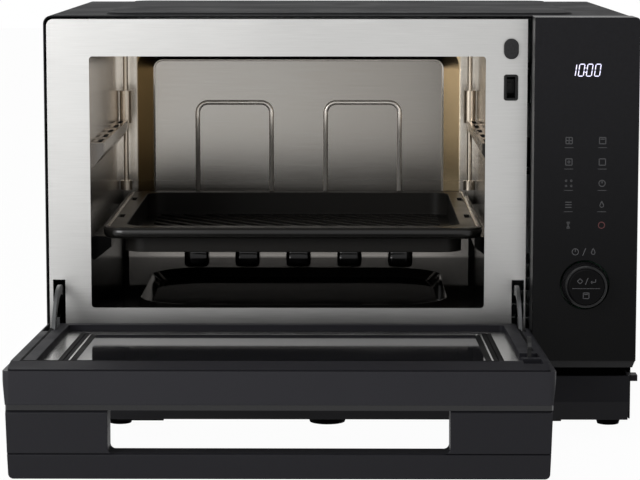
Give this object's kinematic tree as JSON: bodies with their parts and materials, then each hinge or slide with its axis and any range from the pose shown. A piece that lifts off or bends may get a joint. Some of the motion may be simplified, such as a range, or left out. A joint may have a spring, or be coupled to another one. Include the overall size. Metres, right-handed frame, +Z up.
{
  "type": "countertop microwave oven",
  "caption": "Countertop combination microwave shown open: drop-down door with bar handle, steel cavity with ribbed baking tray, touch panel with push dial and a pull-out drip tray.",
  "frame": {"origin": "On the table top, under the middle of the oven with its door open.", "axes": "+Z up; the front with the door and controls faces -Y; +X is the controls' side."},
  "size_m": [0.507, 0.6658, 0.3557],
  "materials": {
    "casing_paint": "satin",
    "plated_sheet": "satin",
    "cavity_steel": "satin",
    "black_enamel": "gloss",
    "ceramic_glass": "gloss",
    "panel_glass": "gloss",
    "door_glass": "gloss",
    "door_plastic": "satin",
    "black_plastic": "satin",
    "dial_plastic": "gloss",
    "rubber": "matte",
    "circuit": "satin",
    "display_glass": "gloss",
    "machine_metal": "satin",
    "iron_core": "matte",
    "quartz": "frosted"
  },
  "bodies": {
    "housing": {"outer_casing": "casing_paint", "back_plate": "plated_sheet", "base_plate": "plated_sheet", "latch_bracket": "plated_sheet", "left_hinge_bracket": "plated_sheet", "right_hinge_bracket": "plated_sheet", "antenna_well": "plated_sheet", "waveguide": "plated_sheet", "heater_reflector": "plated_sheet", "casing_screws": "plated_sheet", "front_frame": "cavity_steel", "cavity_left_wall": "cavity_steel", "cavity_right_wall": "cavity_steel", "cavity_back_wall": "cavity_steel", "cavity_ceiling": "cavity_steel", "left_rack_post": "cavity_steel", "right_rack_post": "cavity_steel", "cavity_floor": "black_enamel", "floor_glass": "ceramic_glass", "control_glass": "panel_glass", "control_housing": "black_plastic", "latch_bezel": "black_plastic", "fan_duct": "black_plastic", "cord_inlet": "black_plastic", "door_switches": "black_plastic", "dial_encoder": "black_plastic", "feet": "rubber", "door_bumper": "rubber", "control_board": "circuit", "inverter_board": "circuit", "filter_board": "circuit", "display_module": "display_glass", "magnetron": "machine_metal", "heat_sink": "machine_metal", "antenna_motor": "machine_metal", "fan_motor": "machine_metal", "oven_lamp": "machine_metal", "transformer": "iron_core", "grill_heaters": "quartz", "lamp_lens": "quartz"},
    "door": {"door_shell": "door_plastic", "door_front_glass": "door_glass", "door_handle": "door_plastic", "door_inner_frame": "door_plastic", "door_steel_panel": "cavity_steel", "door_inner_glass": "door_glass", "door_screen": "plated_sheet", "left_hinge_arm": "plated_sheet", "right_hinge_arm": "plated_sheet"},
    "latch": {"latch_hook": "black_plastic"},
    "tray": {"grill_tray": "black_enamel"},
    "drip": {"drip_tray": "black_plastic"},
    "dial": {"dial_ring": "dial_plastic"},
    "button": {"dial_button": "dial_plastic"},
    "antenna": {"stirrer_antenna": "machine_metal"},
    "fan": {"fan_wheel": "black_plastic"}
  },
  "joints": [
    {"name": "door_hinge", "type": "hinge", "parent": "housing", "child": "door", "pos_m": [-0.0444, -0.05565, 0.0768], "axis": [1, 0, 0], "range_deg": [-87.4, 0]},
    {"name": "latch_pivot", "type": "hinge", "parent": "door", "child": "latch", "pos_m": [0.1453, -0.27203, 0.08663], "axis": [-1, 0, 0], "range_deg": [0, 6], "stiffness_Nm_per_rad": 0.5},
    {"name": "tray_slide", "type": "slide", "parent": "housing", "child": "tray", "axis": [0, -1, 0], "range_m": [0, 0.28]},
    {"name": "drip_tray_slide", "type": "slide", "parent": "housing", "child": "drip", "axis": [0, -1, 0], "range_m": [0, 0.06]},
    {"name": "dial_turn", "type": "hinge", "parent": "housing", "child": "dial", "pos_m": [0.20635, -0.07215, 0.13], "axis": [0, 1, 0], "continuous": true},
    {"name": "button_press", "type": "slide", "parent": "dial", "child": "button", "axis": [0, 1, 0], "range_m": [0, 0.0015], "stiffness_N_per_m": 400},
    {"name": "antenna_spin", "type": "hinge", "parent": "housing", "child": "antenna", "pos_m": [-0.0398, 0.10085, 0.05], "axis": [0, 0, 1], "continuous": true},
    {"name": "fan_spin", "type": "hinge", "parent": "housing", "child": "fan", "pos_m": [0.191, 0.30585, 0.24], "axis": [0, 1, 0], "continuous": true}
  ]
}
